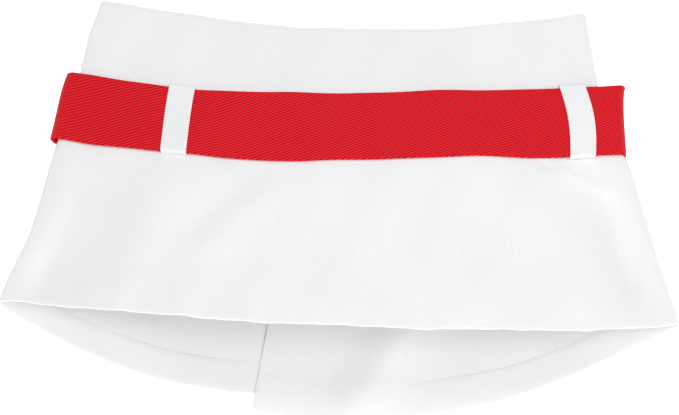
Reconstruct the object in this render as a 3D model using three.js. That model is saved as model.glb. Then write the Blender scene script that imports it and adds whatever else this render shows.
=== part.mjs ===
// A cheer skirt laid on its back: a white twill yoke and flared skirt, a red belt held in white
// loops, and a back that wraps over and closes with hook-and-loop tape.
// Millimetres, +Z up. The waist points to +Y, the hem to -Y and the front of the skirt faces up.
import * as THREE from 'three';

// ---- Widths, measured flat from one side fold to the other ----
const WAIST_WIDTH = 334;
const SEAM_WIDTH = 352; // where the yoke is sewn to the skirt
const HEM_WIDTH = 458;
const SIDE_SWELL = 3.4; // how far the skirt's side stands out past a straight line

// ---- Lengths, measured down the side fold ----
const YOKE_DEPTH = 59.5;
const SKIRT_DEPTH = 195;
const BELT_DEPTH = 56;
const BELT_BELOW_SEAM = 1.6;
const HEM_ALLOWANCE = 22; // cloth turned up inside the hem
const FACING_SHORT_OF_SEAM = 5;

// ---- How far the middle of each edge hangs below its two ends ----
const WAIST_DIP = 24.5;
const SEAM_DIP = 23;
const HEM_DIP = { front: 36, left: 46, right: 62 };
const HEM_CURVE = { left: 0.95, right: 1.3 }; // under 1 fuller at the sides, over 1 deeper in the middle

// ---- Heights of the laid skirt ----
const WAIST_FOLD = 16; // the side fold's height over the table
const SEAM_FOLD = 20;
const HEM_FOLD = 40;
const WAIST_RISE = 9.5; // how far the front bows up over its side folds
const SEAM_RISE = 19.5;
const HEM_RISE = 41;
const FOLD_RADIUS = 4.5; // the cloth turns round the side on this radius
const FLOOR_SHARE = 0.45; // share of the half width over which the back lies flat
const FLOOR_CURVE = 1.6; // how late the back leaves the table towards its folds

// ---- Thicknesses ----
const CLOTH = 1;
const FACING = 0.8;
const BELT_THICKNESS = 2;
const LOOP_THICKNESS = 1.6;
const TAPE = 1;
const GAP = 0.3; // clearance between any two pieces
const BELT_EASE = 0.5; // the belt lies this loosely on the skirt

// ---- Back closure: each free edge passes the centre line by this much ----
const WRAP_AT_WAIST = 15;
const WRAP_AT_HEM = 56;
const TAPE_WIDTH = 20;
const TAPE_LENGTH = 105;
const TAPE_BELOW_WAIST = 8;
const BELT_END_CLEAR = 4; // from the left back's free edge to the belt's right end
const BELT_TAIL = 42; // the belt's left end past that free edge
const PATCH_INSET = 3;
const PATCH_FROM_BELT_EDGE = 6;
const SETTLE_RUN = 75; // the inner flap comes back down to the table over this width

// ---- Belt and its loops ----
const BELT_STANDOFF = 10; // the belt's top edge stands this far out past the skirt at the sides
const LOOP_WIDTH = 17.5;
const LOOP_HEAD = 1; // top end of a loop, caught in the yoke's seam
const LOOP_FOOT = 1.8; // lower end of a loop, tacked down below the belt
const LOOP_RAMP = 1; // length over which a loop climbs onto the belt
const LOOP_LEAN = 0.5; // share of the skirt's flare that a loop's lean follows
const FRONT_LOOP_PLACES = { left: -0.6, right: 0.855 }; // shares of the half width
const BACK_LOOP_PLACES = { left: -0.72, right: 0.72 };
const FLOOR_STARTS = 10; // from the belt's lower edge to where the back begins to come down to the table
const FLOOR_RUN = 60; // length over which it comes down
const FACING_SHORT_OF_HEM = 2;
const HEM_STEP = 1; // width of the step where one layer of cloth becomes two

// ---- How finely the cloth is divided ----
const FRONT_COLUMNS = 16;
const BACK_COLUMNS = 9;
const WRAP_COLUMNS = 3;
const EDGE_FACING_COLUMNS = 4;
const BELT_LEFT_COLUMNS = 8;
const BELT_RIGHT_COLUMNS = 10;
const TAIL_COLUMNS = 2;
const LOOP_COLUMNS = 2;
const PATCH_COLUMNS = 2;
const YOKE_ROWS = 3;
const BELT_ROWS = 3;
const TAPE_ROWS = 6;
const PATCH_ROWS = 2;
const SKIRT_ROWS_UNDER_BELT = 2;
const SKIRT_ROWS_TO_HEM = 3;
const FIRST_ROW_BELOW_BELT = 24;
const NORMAL_STEP_DOWN = 0.01;
const NORMAL_STEP_ACROSS = 0.0002;

// ---- Derived levels down the side fold ----
const SEAM_AT = YOKE_DEPTH;
const HEM_AT = YOKE_DEPTH + SKIRT_DEPTH;
const BELT_TOP_AT = SEAM_AT + BELT_BELOW_SEAM;
const BELT_BOTTOM_AT = BELT_TOP_AT + BELT_DEPTH;
const BELT_STACK = BELT_EASE + BELT_THICKNESS;
const WRAP_LIFT = CLOTH + FACING + 2 * TAPE + 4 * GAP; // inner flap over outer flap
const PATCH = (WRAP_LIFT - BELT_THICKNESS - 3 * GAP) / 2;

// Share of the across parameter that is flat cloth; the rest turns round the side fold.
const FLAT_SHARE = 0.92;
const FOLD_STEPS = 3;

const white = { color: 0xf1f1f4, roughness: 0.9, metalness: 0 };
const twill = () => new THREE.MeshStandardMaterial(white);
const facingCloth = () => new THREE.MeshStandardMaterial({ ...white, color: 0xe9eaee });
const redTwill = () => new THREE.MeshStandardMaterial({ color: 0xd62029, roughness: 0.85, metalness: 0 });
const tapeWeave = () => new THREE.MeshStandardMaterial({ color: 0xdcdde2, roughness: 0.95, metalness: 0 });

const mix = (a, b, share) => a + (b - a) * share;
const clamp01 = (value) => Math.min(1, Math.max(0, value));
const ease = (value) => clamp01(value) ** 2 * (3 - 2 * clamp01(value));
const steps = (from, to, count) => Array.from({ length: count + 1 }, (_, i) => mix(from, to, i / count));

// The line across the skirt at a distance down the side fold.
function lineAt(down) {
  if (down <= SEAM_AT) {
    const share = down / YOKE_DEPTH;
    return {
      half: mix(WAIST_WIDTH, SEAM_WIDTH, share) / 2,
      fold: mix(WAIST_FOLD, SEAM_FOLD, share),
      rise: mix(WAIST_RISE, SEAM_RISE, share),
      dip: () => mix(WAIST_DIP, SEAM_DIP, share),
      curve: () => 1,
    };
  }
  const share = (down - SEAM_AT) / SKIRT_DEPTH;
  return {
    half: mix(SEAM_WIDTH, HEM_WIDTH, share) / 2 + SIDE_SWELL * 4 * share * (1 - share),
    fold: mix(SEAM_FOLD, HEM_FOLD, share),
    rise: mix(SEAM_RISE, HEM_RISE, share),
    dip: (side) => mix(SEAM_DIP, HEM_DIP[side], share),
    curve: (side) => mix(1, HEM_CURVE[side], share),
  };
}

const wrapAt = (down) => mix(WRAP_AT_WAIST, WRAP_AT_HEM, down / HEM_AT);
const leftBackEdgeAtBelt = wrapAt(BELT_BOTTOM_AT);
const tailReach = leftBackEdgeAtBelt + BELT_TAIL;

// From the across parameter, -1 at the left fold to 1 at the right, to a place on the section.
function across(a, half) {
  const flat = half - FOLD_RADIUS;
  const turn = (Math.max(0, Math.abs(a) - FLAT_SHARE) / (1 - FLAT_SHARE)) * (Math.PI / 2);
  const reach = Math.min(Math.abs(a) / FLAT_SHARE, 1) * flat + FOLD_RADIUS * Math.sin(turn);
  return { x: Math.sign(a) * reach, lip: FOLD_RADIUS * Math.cos(turn) };
}
const acrossOf = (x, half) => (x / (half - FOLD_RADIUS)) * FLAT_SHARE;

// Outside face of the front: a shallow arch that dips towards the hem in its middle.
function frontFace(a, down, grow = 0) {
  const line = lineAt(down);
  const half = line.half + grow;
  const { x, lip } = across(a, half);
  const crown = 1 - (x / half) ** 2;
  return new THREE.Vector3(x, -down - line.dip('front') * crown, line.fold + GAP / 2 + lip + line.rise * crown);
}

// Height of the back's outside face over the table where it lies flat: it rests on the belt,
// then comes down to the table itself.
function floorAt(down) {
  return BELT_STACK * (1 - ease((down - BELT_BOTTOM_AT - FLOOR_STARTS) / FLOOR_RUN));
}

// Outside face of one back half: flat on the table in the middle, rising to the side folds.
// The right half passes over the left one, so it is lifted as far as the overlap reaches.
const backFace = (side) => (a, down, grow = 0) => {
  const line = lineAt(down);
  const half = line.half + grow;
  const { x, lip } = across(a, half);
  const share = Math.abs(x) / half;
  const climb = clamp01((share - FLOOR_SHARE) / (1 - FLOOR_SHARE)) ** FLOOR_CURVE;
  const floor = floorAt(down);
  const drop = (line.fold - GAP / 2 - FOLD_RADIUS - floor) * (1 - climb);
  const lift = side === 'right' ? WRAP_LIFT * (1 - ease((x - tailReach - PATCH_INSET) / SETTLE_RUN)) : 0;
  const sag = line.dip(side) * Math.max(0, 1 - share ** 2) ** line.curve(side);
  return new THREE.Vector3(x, -down - sag, line.fold - GAP / 2 - lip - drop + lift);
};

// A point a given distance outside a face; sign is 1 on the front and -1 on the back.
function offsetPoint(face, sign, a, down, grow, distance) {
  const alongWidth = face(a + NORMAL_STEP_ACROSS, down, grow).sub(face(a - NORMAL_STEP_ACROSS, down, grow));
  const alongLength = face(a, down - NORMAL_STEP_DOWN, grow).sub(face(a, down + NORMAL_STEP_DOWN, grow));
  const normal = alongWidth.cross(alongLength).normalize().multiplyScalar(sign);
  return face(a, down, grow).addScaledVector(normal, distance);
}

// A closed sheet between two distances from a face, on a grid of rows and columns.
function sheet(name, material, { face, sign, rows, columns, outer, inner, grow = () => 0 }) {
  const wide = columns(rows[0]).length;
  const layer = rows.length * wide;
  const positions = [];
  for (const distance of [outer, inner]) {
    for (const down of rows) {
      for (const a of columns(down)) {
        positions.push(...offsetPoint(face, sign, a, down, grow(down), distance(a, down)).toArray());
      }
    }
  }
  const at = (k, row, column) => k * layer + row * wide + column;
  const triangles = [];
  const quad = (p, q, r, s) => triangles.push(p, q, r, p, r, s);
  for (let row = 0; row < rows.length - 1; row += 1) {
    for (let column = 0; column < wide - 1; column += 1) {
      quad(at(0, row, column), at(0, row + 1, column), at(0, row + 1, column + 1), at(0, row, column + 1));
      quad(at(1, row, column), at(1, row, column + 1), at(1, row + 1, column + 1), at(1, row + 1, column));
    }
    quad(at(0, row, 0), at(1, row, 0), at(1, row + 1, 0), at(0, row + 1, 0));
    const last = wide - 1;
    quad(at(0, row, last), at(0, row + 1, last), at(1, row + 1, last), at(1, row, last));
  }
  const end = rows.length - 1;
  for (let column = 0; column < wide - 1; column += 1) {
    quad(at(0, 0, column), at(0, 0, column + 1), at(1, 0, column + 1), at(1, 0, column));
    quad(at(0, end, column), at(1, end, column), at(1, end, column + 1), at(0, end, column + 1));
  }
  if (sign < 0) triangles.reverse();
  const geometry = new THREE.BufferGeometry();
  geometry.setAttribute('position', new THREE.Float32BufferAttribute(positions, 3));
  geometry.setIndex(triangles);
  geometry.computeVertexNormals();
  const mesh = new THREE.Mesh(geometry, material);
  mesh.name = name;
  return mesh;
}

const front = { face: frontFace, sign: 1 };
const backs = { left: { face: backFace('left'), sign: -1 }, right: { face: backFace('right'), sign: -1 } };

// ---- Columns across each piece ----
const leftTurn = steps(-1, -FLAT_SHARE, FOLD_STEPS).slice(0, -1);
const rightTurn = steps(FLAT_SHARE, 1, FOLD_STEPS).slice(1);
const frontColumns = () => [...leftTurn, ...steps(-FLAT_SHARE, FLAT_SHARE, FRONT_COLUMNS), ...rightTurn];

// A back half from its side fold to its free edge, with a column where the wrap begins.
function backColumns(side) {
  return (down) => {
    const { half } = lineAt(down);
    const wrap = acrossOf(wrapAt(down), half);
    const hemStop = acrossOf(wrapAt(down) + HEM_STEP, half);
    const wrapped = steps(-wrap, wrap, WRAP_COLUMNS);
    if (side === 'left') {
      return [...leftTurn, ...steps(-FLAT_SHARE, -hemStop, BACK_COLUMNS), ...wrapped];
    }
    return [...wrapped, ...steps(hemStop, FLAT_SHARE, BACK_COLUMNS), ...rightTurn];
  };
}

// Columns between two distances from the centre line.
function bandColumns(fromX, toX, count, growAt = () => 0) {
  return (down) => {
    const half = lineAt(down).half + growAt(down);
    return steps(acrossOf(fromX(down), half), acrossOf(toX(down), half), count);
  };
}

// ---- Rows down each piece ----
const yokeRows = steps(0, SEAM_AT - GAP / 2, YOKE_ROWS);
const facingRows = steps(GAP, SEAM_AT - FACING_SHORT_OF_SEAM, YOKE_ROWS);
const hemFrom = HEM_AT - HEM_ALLOWANCE;
const skirtRows = [
  ...steps(SEAM_AT + GAP / 2, BELT_BOTTOM_AT, SKIRT_ROWS_UNDER_BELT),
  ...steps(BELT_BOTTOM_AT + FIRST_ROW_BELOW_BELT, hemFrom - HEM_STEP / 2, SKIRT_ROWS_TO_HEM),
  hemFrom + HEM_STEP / 2,
  HEM_AT,
];
const beltRows = steps(BELT_TOP_AT, BELT_BOTTOM_AT, BELT_ROWS);
const growOfBelt = (down) => BELT_STANDOFF * (1 - (down - BELT_TOP_AT) / BELT_DEPTH);

// ---- Layers, as distances outside the face of the skirt cloth ----
const level = (distance) => () => distance;
const outsideFace = level(0);
const clothInside = level(-CLOTH);
const facingOuter = level(-CLOTH - GAP);
const facingInner = level(-CLOTH - GAP - FACING);
const beltInner = level(BELT_EASE);
const beltOuter = level(BELT_STACK);

// The skirt cloth is double where the hem is turned up, but not under a back edge's facing.
function skirtInside(side) {
  return (a, down) => {
    const half = lineAt(down).half;
    const past = side === 'left' ? -a : a;
    const faced = side !== 'front' && past < acrossOf(wrapAt(down) + HEM_STEP / 2, half);
    return down > hemFrom && !faced ? -2 * CLOTH : -CLOTH;
  };
}

// A belt loop: its two feet are sewn to the skirt and the middle bridges the belt.
function beltLoop(name, cloth, place) {
  const over = BELT_STACK + GAP;
  const beltMiddle = mix(BELT_TOP_AT, BELT_BOTTOM_AT, 0.5);
  const profile = [
    { down: SEAM_AT - LOOP_HEAD, bridge: 0 },
    { down: BELT_TOP_AT - GAP - LOOP_RAMP, bridge: 0 },
    { down: BELT_TOP_AT - GAP, bridge: 1 },
    { down: beltMiddle, bridge: 1 },
    { down: BELT_BOTTOM_AT + GAP, bridge: 1 },
    { down: BELT_BOTTOM_AT + GAP + LOOP_RAMP, bridge: 0 },
    { down: BELT_BOTTOM_AT + GAP + LOOP_RAMP + LOOP_FOOT, bridge: 0 },
  ];
  const bridgeAt = (down) => profile.find((row) => row.down === down).bridge;
  const grow = (down) => bridgeAt(down) * clamp01(1 - (down - BELT_TOP_AT) / BELT_DEPTH) * BELT_STANDOFF;
  const middle = (down) => place * mix(lineAt(beltMiddle).half, lineAt(down).half, LOOP_LEAN);
  return sheet(name, twill(), {
    ...cloth,
    rows: profile.map((row) => row.down),
    columns: bandColumns(
      (d) => middle(d) - LOOP_WIDTH / 2, (d) => middle(d) + LOOP_WIDTH / 2, LOOP_COLUMNS, grow,
    ),
    outer: (a, down) => mix(GAP, over, bridgeAt(down)) + LOOP_THICKNESS,
    inner: (a, down) => mix(GAP, over, bridgeAt(down)),
    grow,
  });
}

// ---- The front: yoke, its facing, skirt panel, belt and two loops ----
const frontBody = new THREE.Group();
frontBody.add(
  sheet('yoke_front', twill(), {
    ...front, rows: yokeRows, columns: frontColumns, outer: outsideFace, inner: clothInside,
  }),
  sheet('yoke_facing_front', facingCloth(), {
    ...front, rows: facingRows, columns: frontColumns, outer: facingOuter, inner: facingInner,
  }),
  sheet('skirt_front', twill(), {
    ...front, rows: skirtRows, columns: frontColumns, outer: outsideFace, inner: skirtInside('front'),
  }),
  sheet('belt_front', redTwill(), {
    ...front, rows: beltRows, columns: frontColumns, outer: beltOuter, inner: beltInner, grow: growOfBelt,
  }),
  beltLoop('belt_loop_front_left', front, FRONT_LOOP_PLACES.left),
  beltLoop('belt_loop_front_right', front, FRONT_LOOP_PLACES.right),
);

// ---- A back half: yoke, its facing, skirt panel, edge facing, loop and closure tape ----
function backHalf(side) {
  const cloth = backs[side];
  const half = new THREE.Group();
  const columns = backColumns(side);
  const wrapOnly = bandColumns((down) => -wrapAt(down), wrapAt, EDGE_FACING_COLUMNS);
  const tapeRows = steps(TAPE_BELOW_WAIST, TAPE_BELOW_WAIST + TAPE_LENGTH, TAPE_ROWS);
  const facedDepth = CLOTH + GAP + FACING;
  // The left half carries its tape on the inside, the right half on the outside.
  const tapeOuter = side === 'left' ? -facedDepth - GAP : GAP + TAPE;
  half.add(
    sheet(`yoke_back_${side}`, twill(), {
      ...cloth, rows: yokeRows, columns, outer: outsideFace, inner: clothInside,
    }),
    sheet(`yoke_facing_back_${side}`, facingCloth(), {
      ...cloth, rows: facingRows, columns, outer: facingOuter, inner: facingInner,
    }),
    sheet(`skirt_back_${side}`, twill(), {
      ...cloth, rows: skirtRows, columns, outer: outsideFace, inner: skirtInside(side),
    }),
    sheet(`edge_facing_${side}`, facingCloth(), {
      ...cloth,
      rows: [SEAM_AT + GAP, ...skirtRows.slice(1, -1), HEM_AT - FACING_SHORT_OF_HEM],
      columns: wrapOnly,
      outer: facingOuter,
      inner: facingInner,
    }),
    beltLoop(`belt_loop_back_${side}`, cloth, BACK_LOOP_PLACES[side]),
    sheet(side === 'left' ? 'hook_tape_left' : 'loop_tape_right', tapeWeave(), {
      ...cloth,
      rows: tapeRows,
      columns: bandColumns(level(-TAPE_WIDTH / 2), level(TAPE_WIDTH / 2), 1),
      outer: level(tapeOuter),
      inner: level(tapeOuter - TAPE),
    }),
  );
  return half;
}
const backLeftBody = backHalf('left');
const backRightBody = backHalf('right');

// ---- The belt's two back stretches and the patches that close it ----
const beltHalfAt = (down) => lineAt(down).half + growOfBelt(down);
const beltLeftColumns = (down) => [
  ...leftTurn,
  ...steps(-FLAT_SHARE, 0, BELT_LEFT_COLUMNS).slice(0, -1),
  ...steps(0, acrossOf(tailReach, beltHalfAt(down)), TAIL_COLUMNS),
];
const beltRightColumns = (down) => [
  ...steps(acrossOf(leftBackEdgeAtBelt + BELT_END_CLEAR, beltHalfAt(down)), FLAT_SHARE, BELT_RIGHT_COLUMNS),
  ...rightTurn,
];
backLeftBody.add(
  sheet('belt_back_left', redTwill(), {
    ...backs.left, rows: beltRows, columns: beltLeftColumns,
    outer: beltOuter, inner: beltInner, grow: growOfBelt,
  }),
);
backRightBody.add(
  sheet('belt_back_right', redTwill(), {
    ...backs.right, rows: beltRows, columns: beltRightColumns,
    outer: beltOuter, inner: beltInner, grow: growOfBelt,
  }),
);

const patchRows = steps(BELT_TOP_AT + PATCH_FROM_BELT_EDGE, BELT_BOTTOM_AT - PATCH_FROM_BELT_EDGE, PATCH_ROWS);
const patchFrom = leftBackEdgeAtBelt + BELT_END_CLEAR + PATCH_INSET;
const patchColumns = bandColumns(level(patchFrom), level(tailReach - PATCH_INSET), PATCH_COLUMNS);
// On the tail's inner side the patch stands above the belt; on the right stretch it hangs below.
backLeftBody.add(
  sheet('belt_hook_patch', tapeWeave(), {
    ...backs.left, rows: patchRows, columns: patchColumns, outer: level(0), inner: level(-PATCH),
  }),
);
backRightBody.add(
  sheet('belt_loop_patch', tapeWeave(), {
    ...backs.right,
    rows: patchRows,
    columns: patchColumns,
    outer: level(BELT_STACK + GAP + PATCH),
    inner: level(BELT_STACK + GAP),
  }),
);

// ---- The whole skirt, with its origin under the middle of its box, on the table ----
const skirt = new THREE.Group();
skirt.add(frontBody, backLeftBody, backRightBody);
const box = new THREE.Box3().setFromObject(skirt);
const middle = box.getCenter(new THREE.Vector3());
skirt.position.set(-middle.x, -middle.y, -box.min.z);

export default skirt;
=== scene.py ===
import math

import bpy
import numpy as np
from mathutils import Matrix, Vector


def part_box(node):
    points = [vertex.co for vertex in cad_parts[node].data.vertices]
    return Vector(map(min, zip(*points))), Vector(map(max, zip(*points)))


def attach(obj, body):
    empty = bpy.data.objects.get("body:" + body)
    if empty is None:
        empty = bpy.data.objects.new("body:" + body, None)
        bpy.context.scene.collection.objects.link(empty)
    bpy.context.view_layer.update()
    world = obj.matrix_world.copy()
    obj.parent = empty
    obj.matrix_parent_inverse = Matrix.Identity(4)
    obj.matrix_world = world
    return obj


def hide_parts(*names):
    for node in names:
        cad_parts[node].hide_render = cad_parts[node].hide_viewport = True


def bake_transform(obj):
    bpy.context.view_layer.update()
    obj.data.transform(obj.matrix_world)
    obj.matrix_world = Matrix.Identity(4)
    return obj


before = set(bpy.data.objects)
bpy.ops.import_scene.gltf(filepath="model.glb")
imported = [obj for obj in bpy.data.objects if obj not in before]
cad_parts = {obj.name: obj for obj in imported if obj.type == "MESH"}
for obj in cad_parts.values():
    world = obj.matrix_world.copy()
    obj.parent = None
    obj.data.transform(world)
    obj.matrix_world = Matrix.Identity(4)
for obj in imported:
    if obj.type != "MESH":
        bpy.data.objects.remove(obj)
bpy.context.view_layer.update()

scene = bpy.context.scene

# ---------------------------------------------------------------------------------------------
# The table and the studio: a white paper sweep that glows a little, painted light that washes out
# its shadows, under large soft lamps, and a camera that looks down on the laid skirt from its hem side.
# ---------------------------------------------------------------------------------------------
MM = 0.001
TABLE_REACH = 12.0
CAMERA_HEIGHT_ANGLE = math.radians(60)
CAMERA_ROLL = math.radians(1.5)
CAMERA_LENS_MM = 468
CAMERA_SENSOR_MM = 36
VIEW_WIDTH = 0.4617
VIEW_CENTRE = Vector((0, -0.0180, 0.045))
# Painted light: how strongly the paper glows.
PAPER_GLOW = 0.8
PAPER_TINT = (0.93, 0.96)
SKY_COLOUR = (0.985, 0.99, 1.0, 1)
SKY_STRENGTH = 0.475
# Each lamp: place, width of its disk in metres, watts.
LAMPS = {
    "key_lamp": ((0.60, -1.15, 2.1), 1.0, 19),
    "top_lamp": ((0.20, 0.45, 2.4), 1.1, 13.5),
    "hem_lamp": ((0.10, -2.10, 1.2), 1.3, 9),
    "fill_lamp": ((-1.1, -0.2, 2.2), 1.6, 3),
}


def glowing_paper_material():
    """Matt white paper that throws back almost all of the light, and glows a little: painted light that
    washes out its shadows.
    """
    material = bpy.data.materials.new("white_paper")
    material.use_nodes = True
    tree = material.node_tree
    shader = tree.nodes["Principled BSDF"]
    grain = tree.nodes.new("ShaderNodeTexNoise")
    grain.inputs["Scale"].default_value = 40
    tint = tree.nodes.new("ShaderNodeMapRange")
    tint.inputs["To Min"].default_value, tint.inputs["To Max"].default_value = PAPER_TINT
    tree.links.new(grain.outputs["Fac"], tint.inputs["Value"])
    tree.links.new(tint.outputs["Result"], shader.inputs["Base Color"])
    shader.inputs["Roughness"].default_value = 1.0
    shader.inputs["Specular IOR Level"].default_value = 0.0
    # Painted light: the paper glows, washing out the shadows cast on it and lighting the skirt from below.
    shader.inputs["Emission Color"].default_value = (1, 1, 1, 1)
    shader.inputs["Emission Strength"].default_value = PAPER_GLOW
    return material


def table():
    mesh = bpy.data.meshes.new("table")
    corners = [(-1, -1, 0), (1, -1, 0), (1, 1, 0), (-1, 1, 0)]
    mesh.from_pydata([[TABLE_REACH * c for c in corner] for corner in corners], [], [(0, 1, 2, 3)])
    mesh.materials.append(glowing_paper_material())
    top = bpy.data.objects.new("table", mesh)
    scene.collection.objects.link(top)


def soft_lamp(name, place, size, watts):
    lamp = bpy.data.lights.new(name, "AREA")
    lamp.shape = "DISK"
    lamp.size = size
    lamp.energy = watts
    holder = bpy.data.objects.new(name, lamp)
    holder.location = place
    holder.rotation_euler = (VIEW_CENTRE - Vector(place)).to_track_quat("-Z", "Y").to_euler()
    scene.collection.objects.link(holder)


def studio():
    world = bpy.data.worlds.new("studio")
    scene.world = world
    world.use_nodes = True
    sky = world.node_tree.nodes["Background"]
    sky.inputs["Color"].default_value = SKY_COLOUR
    sky.inputs["Strength"].default_value = SKY_STRENGTH
    for name, (place, size, watts) in LAMPS.items():
        soft_lamp(name, place, size, watts)
    scene.view_settings.view_transform = "Standard"


def camera():
    lens = bpy.data.cameras.new("camera")
    lens.lens = CAMERA_LENS_MM
    lens.sensor_width = CAMERA_SENSOR_MM
    lens.clip_start = 0.05
    lens.clip_end = 50
    eye = bpy.data.objects.new("camera", lens)
    distance = VIEW_WIDTH * CAMERA_LENS_MM / CAMERA_SENSOR_MM
    towards = Vector((0, -math.cos(CAMERA_HEIGHT_ANGLE), math.sin(CAMERA_HEIGHT_ANGLE)))
    eye.location = VIEW_CENTRE + towards * distance
    aim = towards.to_track_quat("Z", "Y").to_matrix()
    eye.rotation_euler = (aim @ Matrix.Rotation(CAMERA_ROLL, 3, "Z")).to_euler()
    scene.collection.objects.link(eye)
    scene.camera = eye


table()
studio()
camera()

# ---------------------------------------------------------------------------------------------
# The waist yoke's front: a shaped band of white cotton-blend twill, cut on a shallow curve and
# pressed flat, with its facing turned down inside and one row of stitches under the top edge.
# ---------------------------------------------------------------------------------------------
yoke_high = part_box("yoke_front")[1]
panel_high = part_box("skirt_front")[1]
WAIST_Y = yoke_high.y
SEAM_HALF = yoke_high.x
HEM_HALF = panel_high.x
WAIST_HALF = 167 * MM
SIDE_SWELL = 3.4 * MM
YOKE_DEPTH = 59.5 * MM
SKIRT_DEPTH = 195 * MM
SEAM_AT = YOKE_DEPTH
HEM_AT = YOKE_DEPTH + SKIRT_DEPTH
BELT_DROP = 1.6 * MM
BELT_DEPTH = 56 * MM
BELT_TOP_AT = SEAM_AT + BELT_DROP
BELT_BOTTOM_AT = BELT_TOP_AT + BELT_DEPTH
WAIST_DIP = 24.5 * MM
SEAM_DIP = 23 * MM
HEM_DIP = {"front": 36 * MM, "left": 46 * MM, "right": 62 * MM}
HEM_CURVE = {"left": 0.95, "right": 1.3}
WAIST_FOLD, SEAM_FOLD, HEM_FOLD = 16 * MM, 20 * MM, 40 * MM
WAIST_RISE, SEAM_RISE, HEM_RISE = 10.5 * MM, 20.5 * MM, 42 * MM
TURN_RADIUS = 3.2 * MM  # the cloth turns round the side on this radius
CLOTH = 0.55 * MM
FLAT_SHARE = 0.92  # place across, of 0 to 1, where the cloth begins to turn round the side
TURN_STEPS = 7
THREAD = 0.16 * MM
STITCH = 2.6 * MM
STITCH_GAP = 0.5 * MM
ROW_SPACING = 2.6 * MM
FRONT_COLUMNS = 190
CALM_EDGE = 0.12  # share of the half width, next to each side fold, that stays smooth
BELOW_BELT = 4 * MM  # a tuck reaches its full depth this far below the belt
NUDGE = 5e-5  # small step used to find which way a face looks
CRISP = math.radians(50)

# How far the skirt, as it was put down, departs from its even shape.
BELT_LOW_LEFT, BELT_HIGH_RIGHT = 3.8 * MM, 1.8 * MM
FULLER_MIDDLE, FULLER_RIGHT = 2.4 * MM, 2.8 * MM
HEM_ASKEW = 4.5 * MM
LEFT_WAIST_OUT, LEFT_YOKE_OUT = 2 * MM, 5.2 * MM
LEFT_SKIRT_IN = 6 * MM
LEFT_IN_FROM, LEFT_IN_RUN = 98 * MM, 105 * MM
RIGHT_HEM_OUT, RIGHT_HEM_LOW = 2.8 * MM, 3.4 * MM
RIGHT_OUT_FROM = 200 * MM
PUCKER_HEIGHT, PUCKER_REACH = 0.7 * MM, 30 * MM
PUCKER_PITCHES = (27 * MM, 110 * MM)
# Slow waves of the whole cloth: pitch and height.
DRIFT_WAVES = [(0.16, 0.0014), (0.085, 0.0008), (0.046, 0.00034)]


def mix(a, b, share):
    return a + (b - a) * share


def ease(value):
    value = np.clip(value, 0, 1)
    return value * value * (3 - 2 * value)


def line_at(down, side):
    """Half width, fold height, bow and dip of the line across the skirt at a place down its side."""
    on_yoke = np.clip(down / YOKE_DEPTH, -0.1, 1)
    on_skirt = np.clip((down - SEAM_AT) / SKIRT_DEPTH, 0, 1.1)
    half = mix(WAIST_HALF, SEAM_HALF, on_yoke) + (HEM_HALF - SEAM_HALF) * on_skirt
    half = half + SIDE_SWELL * 4 * on_skirt * (1 - np.minimum(on_skirt, 1))
    fold = mix(WAIST_FOLD, SEAM_FOLD, on_yoke) + (HEM_FOLD - SEAM_FOLD) * on_skirt
    rise = mix(WAIST_RISE, SEAM_RISE, on_yoke) + (HEM_RISE - SEAM_RISE) * on_skirt
    dip = mix(WAIST_DIP, SEAM_DIP, on_yoke) + (HEM_DIP[side] - SEAM_DIP) * on_skirt
    return half, fold, rise, dip


def across(a, half):
    """Distance from the centre line, and height of the rounded side, for a place across the skirt."""
    flat = half - TURN_RADIUS
    turn = np.maximum(0, np.abs(a) - FLAT_SHARE) / (1 - FLAT_SHARE) * (math.pi / 2)
    reach = np.minimum(np.abs(a) / FLAT_SHARE, 1) * flat + TURN_RADIUS * np.sin(turn)
    return np.sign(a) * reach, TURN_RADIUS * np.cos(turn)


def across_of(x, half):
    return x / (half - TURN_RADIUS) * FLAT_SHARE


def soft_fold(x, y, start, end, width, height):
    """A long low ridge, or a hollow when height is negative, between two places on the table."""
    start, end = np.array(start), np.array(end)
    run = end - start
    length = np.hypot(*run)
    along = ((x - start[0]) * run[0] + (y - start[1]) * run[1]) / length
    aside = ((x - start[0]) * run[1] - (y - start[1]) * run[0]) / length
    fade = ease((along + width) / (2 * width)) * ease((length + width - along) / (2 * width))
    return height * fade * np.exp(-((aside / width) ** 2))


# Each fold: start, end, width, height, on the table's plane.
FRONT_FOLDS = [
    ((-0.050, 0.004), (-0.108, -0.052), 0.013, -0.0016),
    ((-0.036, -0.002), (-0.088, -0.066), 0.015, 0.0014),
    ((0.050, 0.000), (0.052, -0.120), 0.014, -0.0012),
    ((0.022, -0.010), (0.020, -0.130), 0.022, 0.0012),
    ((-0.160, 0.010), (-0.198, -0.090), 0.028, -0.0058),
    ((-0.130, 0.004), (-0.146, -0.110), 0.016, 0.0012),
    ((0.180, 0.010), (0.212, -0.090), 0.026, -0.0066),
    ((0.128, 0.005), (0.150, -0.050), 0.020, 0.0012),
    ((-0.060, 0.125), (0.010, 0.085), 0.020, 0.0007),
    ((0.060, 0.120), (0.090, 0.080), 0.018, -0.0006),
]

# Small tucks where the belt presses on the cloth just above them.
FRONT_TUCKS = [
    ((0.132, 0.030), (0.142, 0.017), 0.0024, -0.0013),
    ((0.148, 0.016), (0.190, 0.006), 0.0050, 0.0009),
]


def cloth_drift(x, y, seed):
    """Slow unevenness that no laid cloth is without."""
    drift = np.zeros_like(x)
    for turn, (pitch, height) in enumerate(DRIFT_WAVES):
        lean = seed * 1.7 + turn * 2.1
        travel = x * math.cos(lean) + y * math.sin(lean)
        drift += height * np.sin(travel * 2 * math.pi / pitch + seed + turn)
    return drift


def swell(share, middle, width):
    return np.exp(-(((share - middle) / width) ** 2))


def on_way_to_hem(down):
    """0 at the belt's lower edge, 1 at the hem."""
    return ease((down - BELT_BOTTOM_AT) / (HEM_AT - BELT_BOTTOM_AT))


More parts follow.
